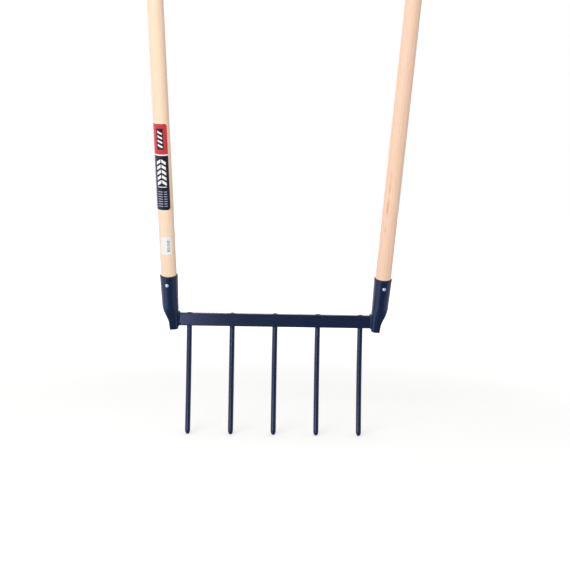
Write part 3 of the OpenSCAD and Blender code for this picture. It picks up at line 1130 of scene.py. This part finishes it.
@dataclass
class Tine(SubAssembly):
    """A bent rod through the crossbar, with a cap weld above it and a small bead below."""

    number: int
    count: int = 5
    pitch: float = 100.0
    rod_r: float = 6.25
    top_z: float = -1.4
    under_z: float = -Crossbar.height
    bend_r: float = 1030.0
    bend_l: float = 244.0
    tip_l: float = 10.0
    cap_r: float = 7.7
    cap_h: float = 2.0
    cap_sink: float = 1.0
    cap_rings: int = 16
    cap_points: int = 56
    cap_ripple: float = 0.2
    cap_ripple_pitch: float = 2.7
    cap_wobble: float = 0.03
    # Turns of a cap's lumps, by its number, its reach and its number again, so that no two caps match
    cap_turns: tuple[float, float, float] = (2.1, 0.5, 1.3)
    path_points: int = 72
    weld: WeldBead = WeldBead(leg=1.6, lower_leg=1.6, sink=0.6, ripple_pitch=2.1, step=0.35)

    @property
    def x(self) -> float:
        """The tine's place along the crossbar."""
        return (self.number - (self.count + 1) / 2) * self.pitch

    def build(self) -> list[Made]:
        """Builds the rod and its welds.

        Returns:
            The pieces.
        """
        node = f"tine_{self.number}"
        rod = Made(self.rod(), ENAMEL, node)
        cap = Made(self.cap(), WELD_ENAMEL, f"{node}_cap_weld")
        return [rod, cap, Made(self.collar(), WELD_ENAMEL, f"{node}_collar_weld")]

    def rod(self) -> Object:
        """Sweeps the rod.

        Returns:
            The rod.
        """
        rod = new_piece(f"bent_tine_{self.number}", np.zeros((1, 3)), [])
        run_tree(
            rod, tine_tree(), ENAMEL, Place=self.x, Top=self.top_z, Rod_radius=self.rod_r,
            Straight_length=self.top_z - self.under_z, Bend_radius=self.bend_r, Bend_length=self.bend_l,
            Tip_length=self.tip_l,
        )
        tidy_mesh(rod)
        return rod

    def cap(self) -> Object:
        """Builds the low dome of weld over the rod's top end, with the ripple that a circling torch leaves.

        Returns:
            The dome.
        """
        x, number = self.x, self.number
        ball = (self.cap_r**2 + self.cap_h**2) / (2 * self.cap_h)
        turns = np.linspace(0, 2 * math.pi, self.cap_points, endpoint=False)
        by_number, by_reach, by_number_again = self.cap_turns
        rings = []
        for ring in range(self.cap_rings):
            reach = self.cap_r * (1 - ring / self.cap_rings)
            swirl = np.cos(2 * math.pi * reach / self.cap_ripple_pitch + 2 * turns + number)
            lumps = np.cos(3 * turns + by_number * number + by_reach * reach)
            lumps = lumps * np.cos(turns - by_number_again * number)
            fade = math.sin(math.pi * reach / self.cap_r)
            rise = self.cap_h - ball + math.sqrt(ball**2 - reach**2)
            high = rise + self.cap_ripple * fade * (0.5 * swirl + 0.5 * lumps - 1)
            reach = reach * (1 - self.cap_wobble * (0.5 + 0.5 * lumps))
            rings.append(np.stack([x + reach * np.cos(turns), reach * np.sin(turns), high], 1))
        foot = rings[0].copy()
        foot[:, 2] = -self.cap_sink
        points = np.concatenate([foot, *rings, [(x, 0.0, self.cap_h)]])
        cap = new_piece(f"cap_weld_{number}", points, loft_faces(len(rings) + 1, self.cap_points, Ends.DOME))
        tidy_mesh(cap)
        return cap

    def collar(self) -> Object:
        """Runs a small bead round the rod under the crossbar.

        Returns:
            The bead.
        """
        turns = self.number - np.linspace(0, 2 * math.pi, self.path_points, endpoint=False)
        across, deep = self.rod_r * np.cos(turns), self.rod_r * np.sin(turns)
        ring = np.stack([self.x + across, deep, np.full(self.path_points, self.under_z)], 1)
        return self.weld.run(f"collar_bead_{self.number}", ring, (0.0, 0.0, -1.0))


@cache
def rivet_tree() -> NodeTree:
    """Makes the tree of a rivet: a shank along z with the same round head on each end.

    Returns:
        The geometry tree.
    """
    tree, source = new_tree("Round-head rivet", ("Head radius", "Head height", "Shank radius", "Grip length"))
    size = source.outputs
    line = add(tree, "GeometryNodeCurvePrimitiveLine")
    rise = add(tree, "GeometryNodeResampleCurve", {"Curve": line, "Count": RIVET_RINGS})
    number = add(tree, "GeometryNodeSplineParameter").outputs["Index"]
    step = math.radians(RIVET_CROWN_DEG) / (RIVET_RINGS - 1)
    turn = add(tree, MATH, [number, step], operation="MULTIPLY")
    sine = add(tree, MATH, [turn], operation="SINE")
    cosine = add(tree, MATH, [turn], operation="COSINE")
    high = add(tree, MATH, [sine, size["Head height"]], operation="MULTIPLY")
    half = add(tree, MATH, [size["Grip length"], 0.5], operation="MULTIPLY")
    top = add(tree, MATH, [high, half], operation="ADD")
    spot = add(tree, COMBINE, {"Z": top})
    laid = add(tree, "GeometryNodeSetPosition", {"Geometry": rise, "Position": spot})
    ring = {"Resolution": ROUND_POINTS, "Radius": size["Head radius"]}
    circle = add(tree, "GeometryNodeCurvePrimitiveCircle", ring)
    sweep = {"Curve": laid, "Profile Curve": circle, "Scale": cosine, "Fill Caps": True}
    head = add(tree, "GeometryNodeCurveToMesh", sweep)
    # One head as it is, and one turned over
    ends = add(tree, "GeometryNodeMeshLine", {"Count": 2, "Offset": (0.0, 0.0, 0.0)})
    flip = add(tree, "GeometryNodeInputIndex")
    half_turn = add(tree, MATH, [flip, math.pi], operation="MULTIPLY")
    angles = add(tree, COMBINE, {"X": half_turn})
    pair = {"Points": ends, "Instance": head, "Rotation": angles}
    heads = add(tree, "GeometryNodeInstanceOnPoints", pair)
    rod = {"Vertices": SHANK_POINTS, "Radius": size["Shank radius"], "Depth": size["Grip length"]}
    shank = add(tree, "GeometryNodeMeshCylinder", rod)
    both = add(tree, "GeometryNodeJoinGeometry", [heads])
    feed(tree, both, [shank])
    return close_tree(tree, source, both)


@dataclass
class Rivet(SubAssembly):
    """A round-head rivet through a socket and its handle."""

    axis: HandleAxis
    turn_deg: float
    height_z: float = 90.5
    head_r: float = 4.2
    head_h: float = 2.634
    shank_r: float = 2.5
    seat_r: float = 20.098

    def build(self) -> list[Made]:
        """Makes the rivet and lays it across the handle.

        Returns:
            The rivet.
        """
        word = self.axis.side.word
        rivet = new_piece(f"round_rivet_{word}", np.zeros((1, 3)), [])
        run_tree(
            rivet, rivet_tree(), STEEL, Head_radius=self.head_r, Head_height=self.head_h,
            Shank_radius=self.shank_r, Grip_length=2 * self.seat_r,
        )
        middle = Vector(self.axis.place(np.array([(0.0, 0.0, self.height_z)]))[0]) * MM
        turn = self.axis.facing(self.turn_deg).to_track_quat("Z", "Y")
        rivet.data.transform(Matrix.Translation(middle) @ turn.to_matrix().to_4x4())
        tidy_mesh(rivet)
        return [Made(rivet, STEEL, f"{word}_rivet")]


@dataclass
class Sheet(SubAssembly):
    """A thin printed patch that follows the handle's taper, a rounded rectangle seen from its own side."""

    name: str
    node: str
    finish: Finish
    axis: HandleAxis
    width: float
    length: float
    corner_r: float
    low_z: float
    turn_deg: float
    thickness: float = 0.2
    lift: float = 0.4
    wood_r: Span = (Handle.shaft_r, Handle.grip_r)
    wood_z: Span = (Handle.mouth_z, Handle.grip_z[0])
    columns: int = 37
    corner_steps: int = 8
    row_mm: float = 8.0

    def rows(self) -> list[Span]:
        """Lists the rows of points, from the lower end to the upper.

        Returns:
            Height above the lower end and half width of each row.
        """
        r, steps = self.corner_r, self.corner_steps
        turns = [math.pi / 2 * k / steps for k in range(steps + 1)]
        low = [(r - r * math.cos(t), self.width / 2 - r + r * math.sin(t)) for t in turns]
        count = max(2, round((self.length - 2 * r) / self.row_mm))
        middle = [(h, self.width / 2) for h in np.linspace(r, self.length - r, count)[1:-1]]
        return low + middle + [(self.length - h, w) for h, w in reversed(low)]

    def faces(self, rows: int) -> list[tuple[int, ...]]:
        """Lists the faces of the outer layer, the inner layer and the edge between them.

        Args:
            rows: Number of rows in a layer.

        Returns:
            Vertex numbers of each face.
        """
        size = self.columns
        under = rows * size
        starts = [row * size for row in (*range(rows - 1), *range(rows, 2 * rows - 1))]
        corners = [start + k for start in starts for k in range(size - 1)]
        faces = [(a, a + 1, a + size + 1, a + size) for a in corners]
        edge = [*range(size), *[(row + 1) * size - 1 for row in range(1, rows)]]
        edge += [(rows - 1) * size + k for k in range(size - 2, -1, -1)]
        edge += [row * size for row in range(rows - 2, 0, -1)]
        return faces + [(a, b, b + under, a + under) for a, b in zip(edge, edge[1:] + edge[:1])]

    def build(self) -> list[Made]:
        """Wraps the sheet's two layers round the handle and joins them at the edge.

        Returns:
            The sheet.
        """
        rows = self.rows()
        slope = (self.wood_r[1] - self.wood_r[0]) / (self.wood_z[1] - self.wood_z[0])
        local, flat = [], []
        for depth in (0.0, self.thickness):
            for high, half in rows:
                z = self.low_z + high
                reach = self.wood_r[0] + slope * (z - self.wood_z[0]) + self.lift - depth
                wrap = math.asin(half / (reach + depth))
                for angle in np.linspace(-wrap, wrap, self.columns):
                    turn = angle + math.radians(self.turn_deg)
                    local.append((reach * math.sin(turn), -reach * math.cos(turn), z))
                    flat.append((reach * angle, high))
        sheet = new_piece(self.name, self.axis.place(np.array(local)), self.faces(len(rows)))
        spots = [flat[loop.vertex_index] for loop in sheet.data.loops]
        printed = sheet.data.uv_layers.new(name=PRINT)
        printed.data.foreach_set("uv", np.array(spots, np.float32).ravel())
        tidy_mesh(sheet)
        return [Made(sheet, self.finish, self.node)]


@dataclass(frozen=True)
class Lamp:
    """A soft rectangular studio lamp."""

    name: str
    place: Spot
    aim: Spot
    size: Span
    watts: float
    colour: str = "#FFFFFF"
    shine_only: bool = False

    def build(self) -> None:
        """Hangs the lamp and points it at its aim."""
        light = bpy.data.lights.new(self.name, "AREA")
        light.shape = "RECTANGLE"
        light.size, light.size_y = self.size[0] * MM, self.size[1] * MM
        light.energy = self.watts
        light.color = linear(self.colour)[:3]
        lamp = bpy.data.objects.new(self.name, light)
        lamp.location = Vector(self.place) * MM
        lamp.rotation_euler = (Vector(self.aim) - Vector(self.place)).to_track_quat("-Z", "Y").to_euler()
        lamp.visible_camera = False
        lamp.visible_diffuse = not self.shine_only
        bpy.context.scene.collection.objects.link(lamp)


@dataclass
class Studio:
    """A pale floor under a white sky, soft lamps, and the camera at the photographed angle."""

    lens_px: float = 1290.5
    sensor_mm: float = 36.0
    camera_place: Spot = (-92.7, -3000.0, 367.8)
    pitch_deg: float = -5.698
    yaw_deg: float = 2.181
    roll_deg: float = 1.220
    floor_half: float = 12000.0
    floor_colour: str = "#F2F2F0"
    floor_roughness: float = 0.9
    # Strength of the floor's own light near the object, and the distances over which it grows to 1
    floor_own_light: float = 0.37
    floor_fade: Span = (600.0, 3000.0)
    # Light that the sky gives, and its brightness and tints in reflections, before and behind the object
    sky_level: float = 0.58
    sky_peak: float = 2.7
    sky_tint: str = "#C4D8FF"
    sky_back_tint: str = "#F4EEFF"
    # Share of that brightness by angle outward from the front: left is negative
    sky_bands: tuple[Span, ...] = (
        (-180, 0.7), (-150, 0.85), (-105, 0.6), (-76, 0.75), (-58, 1.0), (-42, 0.7), (-28, 0.1),
        (30, 0.05), (60, 0.36), (84, 0.5), (110, 0.4), (150, 0.6), (180, 0.7),
    )
    lamps: tuple[Lamp, ...] = (
        Lamp("Key softbox", (-1050, -2200, 700), (-50, 0, 200), (1200, 1200), 28.5),
        Lamp("Low front card", (-640, -2050, -320), (-100, 0, -20), (640, 260), 12.5, "#C4CEFF", True),
        Lamp("Fill softbox", (2100, -1300, 900), (0, 0, 200), (900, 1600), 1.5),
    )

    def build_camera(self) -> None:
        """Sets the camera by its place, pitch, yaw and roll."""
        pitch, yaw, roll = (math.radians(a) for a in (self.pitch_deg, self.yaw_deg, self.roll_deg))
        ahead = Vector((math.sin(yaw) * math.cos(pitch), math.cos(yaw) * math.cos(pitch), math.sin(pitch)))
        level = Vector((math.cos(yaw), -math.sin(yaw), 0.0))
        upright = level.cross(ahead)
        right = math.cos(roll) * level + math.sin(roll) * upright
        up = math.cos(roll) * upright - math.sin(roll) * level
        data = bpy.data.cameras.new("Camera")
        data.sensor_width = self.sensor_mm
        data.lens = self.lens_px / IMAGE_SIDE_PX * self.sensor_mm
        camera = bpy.data.objects.new("Camera", data)
        turn = Matrix((right, up, -ahead)).transposed().to_4x4()
        camera.matrix_world = Matrix.Translation(Vector(self.camera_place) * MM) @ turn
        bpy.context.scene.collection.objects.link(camera)
        bpy.context.scene.camera = camera

    def build_floor(self, height: float) -> None:
        """Lays the floor, which shows as near white but keeps the object's shadow.

        Args:
            height: Its height, in metres.
        """
        half = self.floor_half
        corners = np.array([(-half, -half, 0), (half, -half, 0), (half, half, 0), (-half, half, 0)])
        floor = new_piece("pale_floor", corners + (0, 0, height / MM), [(0, 1, 2, 3)])
        paint = bpy.data.materials.new("Pale studio floor")
        paint.use_nodes = True
        tree = paint.node_tree
        seen = add(tree, "ShaderNodeLightPath").outputs["Is Camera Ray"]
        spot = add(tree, "ShaderNodeTexCoord").outputs["Object"]
        away = add(tree, "ShaderNodeVectorMath", [spot], operation="LENGTH").outputs["Value"]
        near, far = (edge * MM for edge in self.floor_fade)
        own = add(
            tree, MAP_RANGE,
            {"Value": away, "From Min": near, "From Max": far, "To Min": self.floor_own_light},
            interpolation_type="SMOOTHSTEP",
        )
        glow = add(tree, MATH, [seen, own], operation="MULTIPLY")
        look = {"Base Color": linear(self.floor_colour), "Roughness": self.floor_roughness}
        look |= {"Specular IOR Level": 0.0, "Emission Strength": glow}
        feed(tree, tree.nodes["Principled BSDF"], look)
        floor.data.materials.append(paint)
        floor.visible_glossy = False

    def build_sky(self) -> None:
        """Makes a white surround, with soft bright sides in reflections and a plain level for its light."""
        world = bpy.data.worlds.new("White surround")
        world.use_nodes = True
        tree = world.node_tree
        ray = add(tree, "ShaderNodeLightPath").outputs
        way = add(tree, SEPARATE, [add(tree, "ShaderNodeTexCoord").outputs["Generated"]]).outputs
        ahead = add(tree, MATH, [way["Y"], -1.0], operation="MULTIPLY")
        turn = add(tree, MATH, [way["X"], ahead], operation="ARCTAN2")
        share = add(tree, MAP_RANGE, {"Value": turn, "From Min": -math.pi, "From Max": math.pi})
        bands = add(tree, "ShaderNodeValToRGB", {"Fac": share})
        bands.color_ramp.interpolation = "EASE"
        stops = []
        for angle, level in self.sky_bands:
            tint = linear(self.sky_tint if abs(angle) < 90 else self.sky_back_tint)[:3]
            stops.append(((angle + 180) / 360, (*[level * part for part in tint], 1.0)))
        set_stops(bands.color_ramp, stops)
        lit = add(tree, MIX, {0: ray["Is Glossy Ray"], 2: self.sky_level, 3: self.sky_peak})
        shown = add(tree, MATH, [ray["Is Camera Ray"], ray["Is Transmission Ray"]], operation="MAXIMUM")
        level = add(tree, MIX, {0: shown, 2: lit, 3: 1.0})
        colour = add(tree, MIX, {0: ray["Is Glossy Ray"], 6: linear("#FFFFFF"), 7: bands}, data_type="RGBA")
        feed(tree, tree.nodes["Background"], {"Color": colour.outputs[2], "Strength": level})
        bpy.context.scene.world = world

    def build(self, floor_height: float) -> None:
        """Builds the whole set.

        Args:
            floor_height: Height of the floor, in metres.
        """
        self.build_camera()
        self.build_floor(floor_height)
        self.build_sky()
        for lamp in self.lamps:
            lamp.build()
        bpy.context.scene.view_settings.view_transform = "Standard"


def main() -> None:
    """Builds and dresses every sub-assembly, then the set round it."""
    logging.basicConfig(level=logging.INFO, format="%(name)s: %(message)s")
    left, right = HandleAxis(Side.LEFT), HandleAxis(Side.RIGHT)
    label = Sheet(
        "printed_label", "handle_label", LABEL_FILM, left,
        width=34.0, length=202.0, corner_r=7.0, low_z=270.5, turn_deg=25.0,
    )
    sticker = Sheet(
        "paper_sticker", "barcode_sticker", STICKER_PAPER, left,
        width=25.0, length=42.0, corner_r=2.0, low_z=165.5, turn_deg=5.0,
    )
    for part in (
        Handle(left, ASH, pith=(58.0, 31.0)),
        Handle(right, WARM_ASH, pith=(-44.0, 52.0)),
        Socket(left),
        Socket(right),
        Crossbar(),
        *[Tine(number) for number in range(1, Tine.count + 1)],
        Rivet(left, turn_deg=12.0),
        Rivet(right, turn_deg=7.0),
        label,
        sticker,
    ):
        part.dress(part.build())
    Studio().build(CAD_BOX[0].z)


if __name__ == "__main__":
    main()
